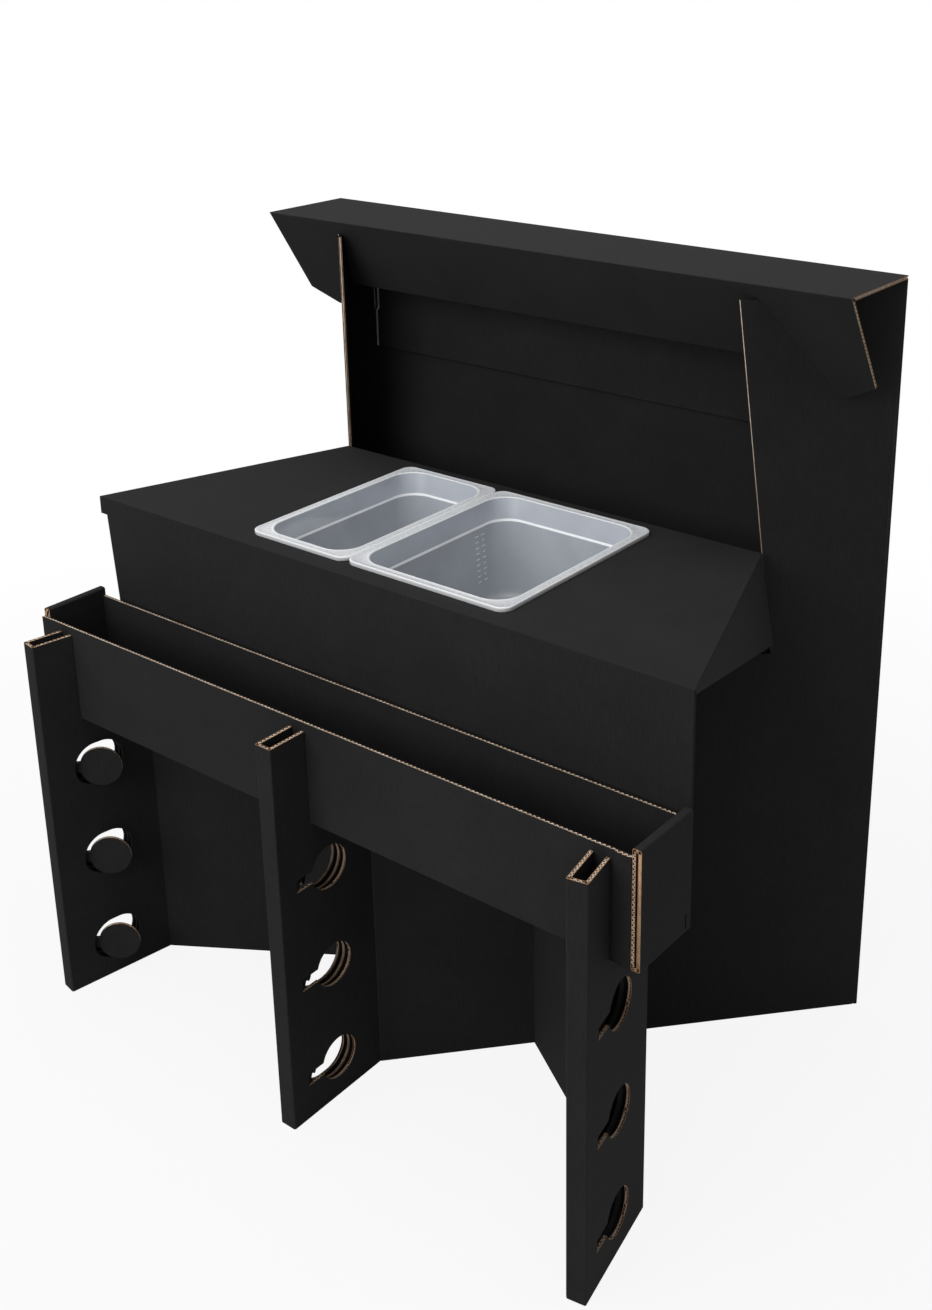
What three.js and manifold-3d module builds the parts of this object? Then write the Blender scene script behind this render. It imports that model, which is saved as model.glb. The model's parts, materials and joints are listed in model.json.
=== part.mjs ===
// Folding portable bar of black corrugated board, seen from the serving side.
// Millimetres, +Z up, +X to the server's right, +Y towards the customer.
// The design frame has y = 0 at the leg fronts; the finished part is moved to its floor centre.
import * as THREE from 'three';
import Module from 'manifold-3d';

const wasm = await Module();
wasm.setup();

// Sheet and clearances
const BOARD = 4.5;
const SEAT = 0.3;
const FIT = 0.6;
const SLACK = 1;
const FAR = 3000;

// Overall body
const HEIGHT = 1095;
const DEPTH = 681;
const REAR_WIDTH = 986;

// Legs: folded U fins
const LEG_THICK = 26;
const LEG_TOP = 569;
const LEG_INSET = 63;
const LEG_REAR_Y = 165.5;
const LEG_SPLAY = THREE.MathUtils.degToRad(10);
const CENTRE_LEG_DEPTH = 166;

// Lock holes and their flaps
const HOLE_RADIUS = 31;
const HOLE_SET_BACK = 88;
const HOLE_FIRST_Z = 60;
const HOLE_PITCH = 149.5;
const HOLE_NAMES = ['low', 'mid', 'high'];
const NECK_HALF = 9;
const CREASE_SET_BACK = 30;
const FLAP_OPEN = THREE.MathUtils.degToRad(38);
const THROUGH_RADIUS = 33;
const THROUGH_SHIFT = 2;
const THROUGH_NECK_HALF = 12;
const THROUGH_ARC = THREE.MathUtils.degToRad(115);
const ARC_STEPS = 20;

// Bottle rail
const RAIL_OVERHANG = 9;
const RAIL_FRONT_Y = 59.5;
const RAIL_DEPTH = 102.5;
const RAIL_BOTTOM = 438.8;
const RAIL_TOP = 580;
const RAIL_END_TOP = 592;
const RAIL_PLY_GAP = 3;
const RAIL_FOLD_RADIUS = 3;
const RAIL_SLIT_WIDTH = 2.5;
const RAIL_SLIT_HEIGHT = 20;
const RAIL_SLIT_SET_IN = 9;
const RAIL_TAB_WIDTH = 23;
const RAIL_TAB_THICK = 2;
const RAIL_TAB_RADIUS = 12;

// Counter
const COUNTER_TOP = 732;
const COUNTER_WIDTH = 1010;
const COUNTER_FRONT_Y = 171;
const APRON_BOTTOM = 562;
const APRON_SHOULDER_DROP = 26;
const APRON_SHOULDER_IN = 13;
const APRON_TAPER_IN = 12;
const SKIRT_DROP = 131;
const SKIRT_SPLAY = THREE.MathUtils.degToRad(8.85);
const SKIRT_REACH_BACK = 5;
const SKIRT_TIP = 2;

// Wings: the tall rear part of the side walls
const WING_FOOT_Y = 552;
const WING_TOP_Y = 520.8;
const WING_TOP_DROP = 22;
const WING_STEP_Y = 552;
const WING_STEP_RUN = 8;

// Where each brace meets its side wall
const BRACE_MEET_Y = 327;

// Shelf lid
const LID_WIDTH = 984;
const LID_FRONT_Y = 524;
const FASCIA_LEAN = THREE.MathUtils.degToRad(32);
const FASCIA_LENGTH = 131;
const FASCIA_END_LENGTH = 152;
const EAR_LENGTH = 183;
const EAR_TIP_WIDTH = 8;
const SLOT_WEDGE = 18;
const LID_FLAP_DROP = 230;
const LID_FLAP_HALF = 418;
const LID_FLAP_STEP = 7;
const LID_FLAP_KINK_DROP = 171;
const LID_FLAP_KINK = 4;

// Bottle ledge behind the counter
const LEDGE_FRONT_Y = 530;
const LEDGE_NARROW_RUN = 4;

// Drop-in pans
const PAN_LENGTH = 325;
const PAN_NARROW = 176;
const PAN_WIDE = 265;
const PAN_PITCH_GAP = 1;
const PAN_CENTRE_Y = 362.5;
const PAN_DEPTH = 150;
const PAN_UNDER_CLEAR = 3;
const PAN_WALL = 2.2;
const PAN_RIM = 13;
const PAN_RIM_HEIGHT = 6;
const PAN_RIM_LIP = 3;
const PAN_RIM_RADIUS = 16;
const PAN_MOUTH_RADIUS = 36;
const PAN_STEP_DROP = 36;
const PAN_STEP_IN = 3;
const PAN_TAPER = 7;
const PAN_HEEL = 12;
const PAN_EDGE = 1;
const PAN_CORNER_STEPS = 6;
const CUT_MARGIN = 10;
const CUT_RADIUS = 24;

// Derived levels and lines
const COUNTER_UNDER = COUNTER_TOP - BOARD;
const LID_UNDER = HEIGHT - BOARD;
const LID_FLAP_BOTTOM = HEIGHT - LID_FLAP_DROP;
const LID_FLAP_KINK_Z = HEIGHT - LID_FLAP_KINK_DROP;
const WING_FRONT_TOP = HEIGHT - WING_TOP_DROP;
const RAIL_WIDTH = COUNTER_WIDTH + 2 * RAIL_OVERHANG;
const LEG_REAR_X = COUNTER_WIDTH / 2 - LEG_INSET;
const SHELL_TOP = LID_UNDER - SEAT;
const NOTCH_Z = RAIL_BOTTOM - SEAT;
const RAIL_REAR_Y = RAIL_FRONT_Y + RAIL_DEPTH;
const RAIL_END_THICK = 2 * BOARD + RAIL_PLY_GAP;
const TROUGH_HALF = RAIL_WIDTH / 2 - RAIL_END_THICK - SEAT;
const REAR_INNER_Y = DEPTH - BOARD;
const WALL_START = new THREE.Vector2(LEG_THICK / 2 + SEAT, CENTRE_LEG_DEPTH + SEAT);
const WALL_END = new THREE.Vector2(REAR_WIDTH / 2, DEPTH);
const WALL_DIR = WALL_END.clone().sub(WALL_START).normalize();
const WALL_OUT = new THREE.Vector2(WALL_DIR.y, -WALL_DIR.x);
const WALL_SLOPE = WALL_DIR.x / WALL_DIR.y;
const WALL_LENGTH = WALL_END.distanceTo(WALL_START);
const COUNTER_REAR_Y = WING_FOOT_Y - SLACK;
const PAN_RIM_TOP = COUNTER_TOP + SEAT + PAN_RIM_HEIGHT;
const WALL_STEP = PAN_RIM_TOP - PAN_DEPTH - PAN_UNDER_CLEAR;
const APRON_SEAT = APRON_BOTTOM - SEAT;
const APRON_REAR_Y = COUNTER_FRONT_Y + BOARD;
const LEDGE_UNDER = WALL_STEP + SEAT;
const LEDGE_TOP = LEDGE_UNDER + BOARD;
const HOLE_HEIGHTS = HOLE_NAMES.map((name, i) => HOLE_FIRST_Z + i * HOLE_PITCH);

// Board colours: printed black faces and clear moulded pans
const BLACK = { color: 0x272729, roughness: 0.86, metalness: 0 };
const SHADE_BLACK = { color: 0x232325, roughness: 0.88, metalness: 0 };
const TOP_BLACK = { color: 0x2c2c2e, roughness: 0.84, metalness: 0 };
const CLEAR = { color: 0xdfe3e6, roughness: 0.32, metalness: 0 };

const up = new THREE.Vector3(0, 0, 1);
const bar = new THREE.Group();
bar.name = 'folding_portable_bar';
const design = new THREE.Group();
design.position.set(0, -DEPTH / 2, 0);
bar.add(design);

function solid(geometry) {
  const bare = geometry.index ? geometry.toNonIndexed() : geometry;
  const count = bare.attributes.position.count;
  const grid = new Map();
  const points = [];
  const triVerts = new Uint32Array(count);
  for (let i = 0; i < count; i += 1) {
    const x = bare.attributes.position.getX(i);
    const y = bare.attributes.position.getY(i);
    const z = bare.attributes.position.getZ(i);
    const key = [x, y, z].map((v) => Math.round(v * 1e4)).join(',');
    if (!grid.has(key)) {
      grid.set(key, points.length / 3);
      points.push(x, y, z);
    }
    triVerts[i] = grid.get(key);
  }
  const vertProperties = new Float32Array(points);
  const mesh = new wasm.Mesh({ numProp: 3, vertProperties, triVerts });
  return new wasm.Manifold(mesh);
}

function shell(body) {
  const mesh = body.getMesh();
  const geometry = new THREE.BufferGeometry();
  const positions = new Float32Array(mesh.vertProperties);
  geometry.setAttribute('position', new THREE.BufferAttribute(positions, 3));
  geometry.setIndex(new THREE.BufferAttribute(new Uint32Array(mesh.triVerts), 1));
  return geometry;
}

function mirrored(geometry) {
  const copy = geometry.clone();
  copy.applyMatrix4(new THREE.Matrix4().makeScale(-1, 1, 1));
  const index = copy.index;
  for (let i = 0; i < index.count; i += 3) {
    const swap = index.getX(i + 1);
    index.setX(i + 1, index.getX(i + 2));
    index.setX(i + 2, swap);
  }
  return copy;
}

function addPiece(name, geometry, look, parent = design) {
  const faceted = geometry.toNonIndexed();
  faceted.computeVertexNormals();
  const mesh = new THREE.Mesh(faceted, new THREE.MeshStandardMaterial(look));
  mesh.name = name;
  parent.add(mesh);
}

// Hangs a piece on a vertical crease, turned by an angle.
function hangPiece(name, geometry, look, crease, angle) {
  const hinge = new THREE.Group();
  hinge.position.copy(crease);
  hinge.rotation.z = angle;
  design.add(hinge);
  addPiece(name, geometry, look, hinge);
}

function outline(points) {
  return new THREE.Shape(points.map(([x, y]) => new THREE.Vector2(x, y)));
}

// Extrudes an outline by a thickness, then lays its x, y and depth along the given axes.
function sheet(shape, thickness, xAxis, yAxis, origin) {
  const options = { depth: thickness, bevelEnabled: false, curveSegments: ARC_STEPS };
  const geometry = new THREE.ExtrudeGeometry(shape, options);
  const zAxis = new THREE.Vector3().crossVectors(xAxis, yAxis);
  const place = new THREE.Matrix4().makeBasis(xAxis, yAxis, zAxis);
  place.setPosition(origin);
  geometry.applyMatrix4(place);
  return solid(geometry);
}

// Vertical prism standing on a plan outline.
function prism(points, low, high) {
  const xAxis = new THREE.Vector3(1, 0, 0);
  const yAxis = new THREE.Vector3(0, 1, 0);
  return sheet(outline(points), high - low, xAxis, yAxis, new THREE.Vector3(0, 0, low));
}

function block(low, high) {
  const size = high.map((v, i) => v - low[i]);
  const geometry = new THREE.BoxGeometry(size[0], size[1], size[2]);
  geometry.translate(low[0] + size[0] / 2, low[1] + size[1] / 2, low[2] + size[2] / 2);
  return solid(geometry);
}

// Profile in the y, z plane, run along x.
function profileAlongX(shape, fromX, toX) {
  const yAxis = new THREE.Vector3(0, 1, 0);
  return sheet(shape, toX - fromX, yAxis, up, new THREE.Vector3(fromX, 0, 0));
}

// Face in the x, z plane whose thickness runs rearwards from frontY.
function faceToRear(shape, frontY, thickness) {
  const xAxis = new THREE.Vector3(1, 0, 0);
  return sheet(shape, thickness, xAxis, up, new THREE.Vector3(0, frontY + thickness, 0));
}

// Right wall's outer and inner face: x at a given y, moved outwards by an offset.
function wallX(y, offset) {
  return WALL_START.x + (y - WALL_START.y) * WALL_SLOPE + offset / WALL_OUT.x;
}

// Plan strip along the right wall between two outward offsets.
function wallStrip(innerOffset, outerOffset, fromY, toY, low, high) {
  const points = [
    [wallX(fromY, innerOffset), fromY],
    [wallX(fromY, outerOffset), fromY],
    [wallX(toY, outerOffset), toY],
    [wallX(toY, innerOffset), toY],
  ];
  return prism(points, low, high);
}

// Everything inboard of and behind the right wall's outer face, moved outwards by a clearance.
function behindWall(clearance) {
  const points = [
    [wallX(-FAR, clearance), -FAR],
    [wallX(FAR, clearance), FAR],
    [-2 * FAR, FAR],
    [-2 * FAR, -FAR],
  ];
  return prism(points, -FAR, FAR);
}

function buildRearPanel() {
  const half = REAR_WIDTH / 2;
  const inner = wallX(REAR_INNER_Y, 0);
  const points = [
    [-half, DEPTH],
    [-inner, REAR_INNER_Y],
    [inner, REAR_INNER_Y],
    [half, DEPTH],
  ];
  return shell(prism(points, 0, SHELL_TOP));
}

// Distance along the right wall from its front end to a given y.
function wallRun(y) {
  return (y - WALL_START.y) / WALL_DIR.y;
}

function wingEdgeY(z) {
  const rise = (z - COUNTER_TOP) / (WING_FRONT_TOP - COUNTER_TOP);
  return WING_FOOT_Y + rise * (WING_TOP_Y - WING_FOOT_Y);
}

function buildSideWall() {
  const apronClear = wallRun(APRON_REAR_Y + SLACK) + BOARD;
  const shape = outline([
    [-BOARD, 0],
    [WALL_LENGTH, 0],
    [WALL_LENGTH, SHELL_TOP],
    [wallRun(WING_STEP_Y + WING_STEP_RUN), SHELL_TOP],
    [wallRun(WING_STEP_Y), WING_FRONT_TOP],
    [wallRun(WING_TOP_Y), WING_FRONT_TOP],
    [wallRun(wingEdgeY(WALL_STEP)), WALL_STEP],
    [apronClear, WALL_STEP],
    [apronClear, APRON_SEAT],
    [-BOARD, APRON_SEAT],
  ]);
  const along = new THREE.Vector3(WALL_DIR.x, WALL_DIR.y, 0);
  const origin = new THREE.Vector3(WALL_START.x, WALL_START.y, 0);
  origin.x -= WALL_OUT.x * BOARD;
  origin.y -= WALL_OUT.y * BOARD;
  const board = sheet(shape, BOARD, along, up, origin);
  const rear = block([-FAR, REAR_INNER_Y - SEAT, -FAR], [FAR, FAR, FAR]);
  const front = block([-FAR, -FAR, -FAR], [FAR, WALL_START.y, FAR]);
  return shell(board.subtract(rear).subtract(front));
}

// Lollipop outline of a lock hole, made smaller all round by a clearance.
function lockOutline(shape, centre, height, shrink) {
  const radius = HOLE_RADIUS - shrink;
  const half = NECK_HALF - shrink;
  const crease = CREASE_SET_BACK + shrink;
  const turn = Math.PI - Math.asin(half / radius);
  shape.moveTo(crease, height - half);
  shape.lineTo(centre + radius * Math.cos(turn), height - half);
  shape.absarc(centre, height, radius, -turn, turn, false);
  shape.lineTo(crease, height + half);
  shape.closePath();
  return shape;
}

// Long round hole in a leg's far side, from where a disc first passes to where it rests.
function passOutline(shape, height) {
  const first = HOLE_SET_BACK - THROUGH_SHIFT;
  const rest = CREASE_SET_BACK + (HOLE_SET_BACK - CREASE_SET_BACK) * Math.cos(FLAP_OPEN);
  const quarter = Math.PI / 2;
  shape.moveTo(first, height - THROUGH_RADIUS);
  shape.absarc(first, height, THROUGH_RADIUS, -quarter, quarter, false);
  shape.lineTo(rest, height + THROUGH_RADIUS);
  shape.absarc(rest, height, THROUGH_RADIUS, quarter, 3 * quarter, false);
  shape.closePath();
  return shape;
}

// Drop-shaped hole in a tongue, open as far as the crease so that a flap's neck can swing through.
function throughOutline(shape, height) {
  const centre = HOLE_SET_BACK - THROUGH_SHIFT;
  shape.moveTo(CREASE_SET_BACK, height - THROUGH_NECK_HALF);
  const arcX = centre + THROUGH_RADIUS * Math.cos(THROUGH_ARC);
  const arcZ = THROUGH_RADIUS * Math.sin(THROUGH_ARC);
  shape.lineTo(arcX, height - arcZ);
  shape.absarc(centre, height, THROUGH_RADIUS, -THROUGH_ARC, THROUGH_ARC, false);
  shape.lineTo(CREASE_SET_BACK, height + THROUGH_NECK_HALF);
  shape.closePath();
  return shape;
}

function pierced(shape, makeHole) {
  for (const height of HOLE_HEIGHTS) {
    shape.holes.push(makeHole(height));
  }
  return shape;
}

// Folded U fin: a lock side with the flaps' own holes, a far side and a closed front.
function buildLeg(depth, front, rearwards) {
  const half = LEG_THICK / 2;
  const side = [[0, 0], [depth, 0], [depth, LEG_TOP], [0, LEG_TOP]];
  const lockPly = pierced(outline(side), (z) => lockOutline(new THREE.Path(), HOLE_SET_BACK, z, 0));
  const farPly = pierced(outline(side), (z) => passOutline(new THREE.Path(), z));
  const across = new THREE.Vector3().crossVectors(rearwards, up);
  const farSide = front.clone().addScaledVector(across, -half);
  const lockSide = front.clone().addScaledVector(across, half - BOARD);
  const closing = outline([[0, 0], [BOARD, 0], [BOARD, LEG_TOP], [0, LEG_TOP]]);
  let leg = sheet(farPly, BOARD, rearwards, up, farSide);
  leg = leg.add(sheet(lockPly, BOARD, rearwards, up, lockSide));
  leg = leg.add(sheet(closing, LEG_THICK, rearwards, up, farSide));
  const railSpace = block([-FAR, RAIL_FRONT_Y - SLACK, NOTCH_Z], [FAR, FAR, FAR]);
  return shell(leg.subtract(railSpace));
}

// End of the wall board that stands inside a leg and is pinned there by the flaps.
function buildTongue(depth, front, rearwards) {
  const nose = BOARD + SEAT;
  const side = outline([[nose, 0], [depth, 0], [depth, NOTCH_Z], [nose, NOTCH_Z]]);
  const ply = pierced(side, (z) => throughOutline(new THREE.Path(), z));
  const across = new THREE.Vector3().crossVectors(rearwards, up);
  const middle = front.clone().addScaledVector(across, -BOARD / 2);
  return shell(sheet(ply, BOARD, rearwards, up, middle));
}

// Closed flap in a leg's lock side, drawn about the middle of its crease.
function buildFlap(rearwards) {
  const shape = lockOutline(new THREE.Shape(), HOLE_SET_BACK, 0, FIT);
  const origin = rearwards.clone().multiplyScalar(-CREASE_SET_BACK - FIT / 2);
  return shell(sheet(shape, BOARD, rearwards, up, origin));
}

// Middle of a crease, on the inner face of a leg's lock side, at a given height.
function creaseAt(front, rearwards, height) {
  const across = new THREE.Vector3().crossVectors(rearwards, up);
  const crease = front.clone().addScaledVector(across, LEG_THICK / 2 - BOARD);
  crease.addScaledVector(rearwards, CREASE_SET_BACK + FIT / 2);
  crease.z = height;
  return crease;
}

const splayFrontY = (LEG_THICK / 2) * Math.sin(LEG_SPLAY);
const splayDepth = (LEG_REAR_Y - splayFrontY) / Math.cos(LEG_SPLAY);
const splayFrontX = LEG_REAR_X + splayDepth * Math.sin(LEG_SPLAY);
const splayFront = new THREE.Vector3(splayFrontX, splayFrontY, 0);
const splayBack = new THREE.Vector3(-Math.sin(LEG_SPLAY), Math.cos(LEG_SPLAY), 0);
const centreFront = new THREE.Vector3(0, 0, 0);
const straightBack = new THREE.Vector3(0, 1, 0);

function buildBrace() {
  const start = splayFront.clone().addScaledVector(splayBack, splayDepth + SEAT);
  start.addScaledVector(new THREE.Vector3().crossVectors(splayBack, up), -LEG_THICK / 2);
  const meet = new THREE.Vector3(wallX(BRACE_MEET_Y, 0), BRACE_MEET_Y, 0);
  const along = meet.clone().sub(start).normalize();
  const reach = meet.distanceTo(start) + 2 * BOARD;
  const apronClear = (APRON_REAR_Y + SLACK - start.y) / along.y;
  const shape = outline([
    [0, 0],
    [reach, 0],
    [reach, WALL_STEP],
    [apronClear, WALL_STEP],
    [apronClear, APRON_SEAT],
    [0, APRON_SEAT],
  ]);
  const board = sheet(shape, BOARD, along, up, start);
  const railSpace = block([-FAR, -FAR, NOTCH_Z], [FAR, RAIL_REAR_Y + SLACK, FAR]);
  return shell(board.subtract(behindWall(SEAT)).subtract(railSpace));
}

function roundedRect(width, length, radius) {
  const shape = new THREE.Shape();
  const x = width / 2 - radius;
  const y = length / 2 - radius;
  shape.absarc(x, y, radius, 0, Math.PI / 2, false);
  shape.absarc(-x, y, radius, Math.PI / 2, Math.PI, false);
  shape.absarc(-x, -y, radius, Math.PI, 1.5 * Math.PI, false);
  shape.absarc(x, -y, radius, 1.5 * Math.PI, 2 * Math.PI, false);
  return shape;
}

const counterHalf = COUNTER_WIDTH / 2;
const counterRearHalf = wallX(WING_FOOT_Y, 0);

function buildCounter() {
  const plate = prism([
    [-counterHalf, COUNTER_FRONT_Y],
    [counterHalf, COUNTER_FRONT_Y],
    [counterRearHalf, COUNTER_REAR_Y],
    [-counterRearHalf, COUNTER_REAR_Y],
  ], COUNTER_UNDER, COUNTER_TOP);
  const shoulder = COUNTER_TOP - APRON_SHOULDER_DROP;
  const shoulderHalf = counterHalf - APRON_SHOULDER_IN;
  const apron = faceToRear(outline([
    [-counterHalf, COUNTER_TOP - BOARD / 2],
    [-counterHalf, shoulder],
    [-shoulderHalf, shoulder],
    [-shoulderHalf + APRON_TAPER_IN, APRON_BOTTOM],
    [counterHalf, APRON_BOTTOM],
    [counterHalf, COUNTER_TOP - BOARD / 2],
  ]), COUNTER_FRONT_Y, BOARD);
  const cutWidth = PAN_NARROW + PAN_WIDE + PAN_PITCH_GAP - 2 * CUT_MARGIN;
  const cutShape = roundedRect(cutWidth, PAN_LENGTH - 2 * CUT_MARGIN, CUT_RADIUS);
  const xAxis = new THREE.Vector3(1, 0, 0);
  const yAxis = new THREE.Vector3(0, 1, 0);
  const cutOrigin = new THREE.Vector3(0, PAN_CENTRE_Y, COUNTER_UNDER - BOARD);
  const cut = sheet(cutShape, 3 * BOARD, xAxis, yAxis, cutOrigin);
  const rearFlapHalf = counterRearHalf - 2 * BOARD;
  const rearFlap = block(
    [-rearFlapHalf, COUNTER_REAR_Y - BOARD, LEDGE_TOP + SEAT],
    [rearFlapHalf, COUNTER_REAR_Y, COUNTER_TOP - BOARD / 2],
  );
  return shell(plate.add(apron).add(rearFlap).subtract(cut));
}

// Triangular skirt hung on the counter's right side fold.
function buildSkirt() {
  const rear = new THREE.Vector3(counterRearHalf, COUNTER_REAR_Y, COUNTER_UNDER - SEAT);
  const tip = new THREE.Vector3(counterHalf, COUNTER_FRONT_Y, COUNTER_UNDER - SEAT);
  const along = tip.clone().sub(rear).normalize();
  const outwards = new THREE.Vector3().crossVectors(up, along);
  const rise = up.clone().multiplyScalar(Math.cos(SKIRT_SPLAY));
  rise.addScaledVector(outwards, -Math.sin(SKIRT_SPLAY));
  const length = tip.distanceTo(rear) - SLACK;
  const drop = (SKIRT_DROP - BOARD) / Math.cos(SKIRT_SPLAY);
  const shape = outline([
    [SLACK, 0],
    [-SKIRT_REACH_BACK, -drop],
    [length, -SKIRT_TIP],
    [length, 0],
  ]);
  const board = sheet(shape, BOARD, along, rise, rear);
  const apronSpace = block([-FAR, -FAR, -FAR], [FAR, APRON_REAR_Y + FIT, FAR]);
  return shell(board.subtract(behindWall(FIT)).subtract(apronSpace));
}

function buildRailTrough() {
  const floor = RAIL_BOTTOM + BOARD;
  const innerFront = RAIL_FRONT_Y + BOARD;
  const innerRear = RAIL_REAR_Y - BOARD;
  const channel = profileAlongX(outline([
    [RAIL_FRONT_Y, RAIL_TOP],
    [RAIL_FRONT_Y, RAIL_BOTTOM],
    [RAIL_REAR_Y, RAIL_BOTTOM],
    [RAIL_REAR_Y, RAIL_TOP],
    [innerRear, RAIL_TOP],
    [innerRear, floor],
    [innerFront, floor],
    [innerFront, RAIL_TOP],
  ]), -TROUGH_HALF, TROUGH_HALF);
  const cover = block(
    [-RAIL_WIDTH / 2, RAIL_FRONT_Y, RAIL_BOTTOM],
    [-TROUGH_HALF + BOARD, innerFront, RAIL_TOP],
  );
  const tabLeft = TROUGH_HALF - RAIL_TAB_WIDTH;
  const tab = new THREE.Shape();
  tab.moveTo(TROUGH_HALF, RAIL_TOP);
  tab.lineTo(tabLeft, RAIL_TOP);
  tab.lineTo(tabLeft, RAIL_BOTTOM + RAIL_TAB_RADIUS);
  const bend = RAIL_BOTTOM + RAIL_TAB_RADIUS;
  tab.absarc(tabLeft + RAIL_TAB_RADIUS, bend, RAIL_TAB_RADIUS, Math.PI, 1.5 * Math.PI, false);
  tab.lineTo(TROUGH_HALF, RAIL_BOTTOM);
  const pad = faceToRear(tab, RAIL_FRONT_Y - RAIL_TAB_THICK, RAIL_TAB_THICK + BOARD / 2);
  return shell(channel.add(cover).add(pad));
}

// Rolled double end: two plies folded over at the top and bottom, open at both y ends.
function buildRailEnd(outerX, innerX, frontY) {
  const middle = (outerX + innerX) / 2;
  const half = Math.abs(outerX - innerX) / 2;
  const radius = RAIL_FOLD_RADIUS;
  const shape = new THREE.Shape();
  shape.moveTo(middle - half, RAIL_BOTTOM);
  shape.lineTo(middle + half, RAIL_BOTTOM);
  shape.absarc(middle + half - radius, RAIL_END_TOP - radius, radius, 0, Math.PI / 2, false);
  shape.absarc(middle - half + radius, RAIL_END_TOP - radius, radius, Math.PI / 2, Math.PI, false);
  const gap = RAIL_PLY_GAP / 2;
  const low = RAIL_BOTTOM + BOARD;
  const high = RAIL_END_TOP - BOARD;
  const hole = new THREE.Path();
  hole.moveTo(middle - gap, low);
  hole.lineTo(middle + gap, low);
  hole.lineTo(middle + gap, high);
  hole.lineTo(middle - gap, high);
  shape.holes.push(hole);
  const slitFrom = RAIL_REAR_Y - RAIL_SLIT_SET_IN - RAIL_SLIT_WIDTH;
  const slit = block(
    [Math.min(outerX, middle), slitFrom, low],
    [Math.max(outerX, middle), slitFrom + RAIL_SLIT_WIDTH, low + RAIL_SLIT_HEIGHT],
  );
  return shell(faceToRear(shape, frontY, RAIL_REAR_Y - frontY).subtract(slit));
}

// Point on the fascia's outer face: a distance down its slope, as y.
function fasciaY(distance) {
  return LID_FRONT_Y + distance * Math.sin(FASCIA_LEAN);
}

function buildLid() {
  const lean = new THREE.Vector3(0, Math.sin(FASCIA_LEAN), -Math.cos(FASCIA_LEAN));
  const inwards = new THREE.Vector3(0, Math.cos(FASCIA_LEAN), Math.sin(FASCIA_LEAN));
  const end = new THREE.Vector3(0, LID_FRONT_Y, HEIGHT).addScaledVector(lean, EAR_LENGTH);
  const endIn = end.clone().addScaledVector(inwards, BOARD);
  const bendRun = BOARD * (1 + Math.sin(FASCIA_LEAN)) / Math.cos(FASCIA_LEAN);
  const bend = new THREE.Vector3(0, LID_FRONT_Y, HEIGHT);
  bend.addScaledVector(inwards, BOARD).addScaledVector(lean, bendRun);
  const half = LID_WIDTH / 2;
  let lid = profileAlongX(outline([
    [DEPTH, HEIGHT],
    [LID_FRONT_Y, HEIGHT],
    [end.y, end.z],
    [endIn.y, endIn.z],
    [bend.y, bend.z],
    [DEPTH, LID_UNDER],
  ]), -half, half);

  // Fascia cuts are drawn as x against the distance down the slope.
  const below = EAR_LENGTH + 2 * BOARD;
  const slotTop = WING_FRONT_TOP + FIT;
  const slotRun = (HEIGHT - slotTop) / Math.cos(FASCIA_LEAN);
  const innerAt = (run) => wallX(fasciaY(run), -BOARD - FIT);
  const middle = [
    [-innerAt(FASCIA_LENGTH) + SLOT_WEDGE, -FASCIA_LENGTH],
    [-innerAt(slotRun), -slotRun],
    [-innerAt(below), -below],
    [innerAt(below), -below],
    [innerAt(slotRun), -slotRun],
    [innerAt(FASCIA_LENGTH) - SLOT_WEDGE, -FASCIA_LENGTH],
  ];
  const earTip = wallX(fasciaY(EAR_LENGTH), FIT) + EAR_TIP_WIDTH;
  const corner = [
    [earTip, -EAR_LENGTH],
    [half + BOARD, -FASCIA_END_LENGTH],
    [half + BOARD, -below],
    [earTip, -below],
  ];
  const cornerLeft = corner.map(([x, y]) => [-x, y]);
  const xAxis = new THREE.Vector3(1, 0, 0);
  const upSlope = lean.clone().negate();
  const origin = new THREE.Vector3(0, LID_FRONT_Y, HEIGHT).addScaledVector(inwards, 2 * BOARD);
  for (const points of [middle, corner, cornerLeft]) {
    lid = lid.subtract(sheet(outline(points), 3 * BOARD, xAxis, upSlope, origin));
  }
  const slotRight = wallStrip(-BOARD - FIT, FIT, WING_TOP_Y - BOARD, REAR_INNER_Y, 0, slotTop);
  const slotLeft = solid(mirrored(shell(slotRight)));
  lid = lid.subtract(slotRight).subtract(slotLeft);

  // Two-ply rear flap that hangs inside the rear panel.
  const flapRear = REAR_INNER_Y - SEAT;
  const outerPly = block(
    [-LID_FLAP_HALF, flapRear - BOARD, LID_FLAP_BOTTOM],
    [LID_FLAP_HALF, flapRear, LID_UNDER + BOARD / 2],
  );
  const innerHalf = LID_FLAP_HALF - LID_FLAP_STEP;
  const innerPly = faceToRear(outline([
    [-innerHalf - LID_FLAP_KINK, LID_FLAP_BOTTOM],
    [innerHalf + LID_FLAP_KINK, LID_FLAP_BOTTOM],
    [innerHalf + LID_FLAP_KINK, LID_FLAP_KINK_Z],
    [innerHalf, LID_FLAP_KINK_Z + LID_FLAP_KINK],
    [innerHalf, LID_UNDER + BOARD / 2],
    [-innerHalf, LID_UNDER + BOARD / 2],
    [-innerHalf, LID_FLAP_KINK_Z + LID_FLAP_KINK],
    [-innerHalf - LID_FLAP_KINK, LID_FLAP_KINK_Z],
  ]), flapRear - 2 * BOARD, BOARD + BOARD / 2);
  return shell(lid.add(outerPly).add(innerPly));
}

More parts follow.
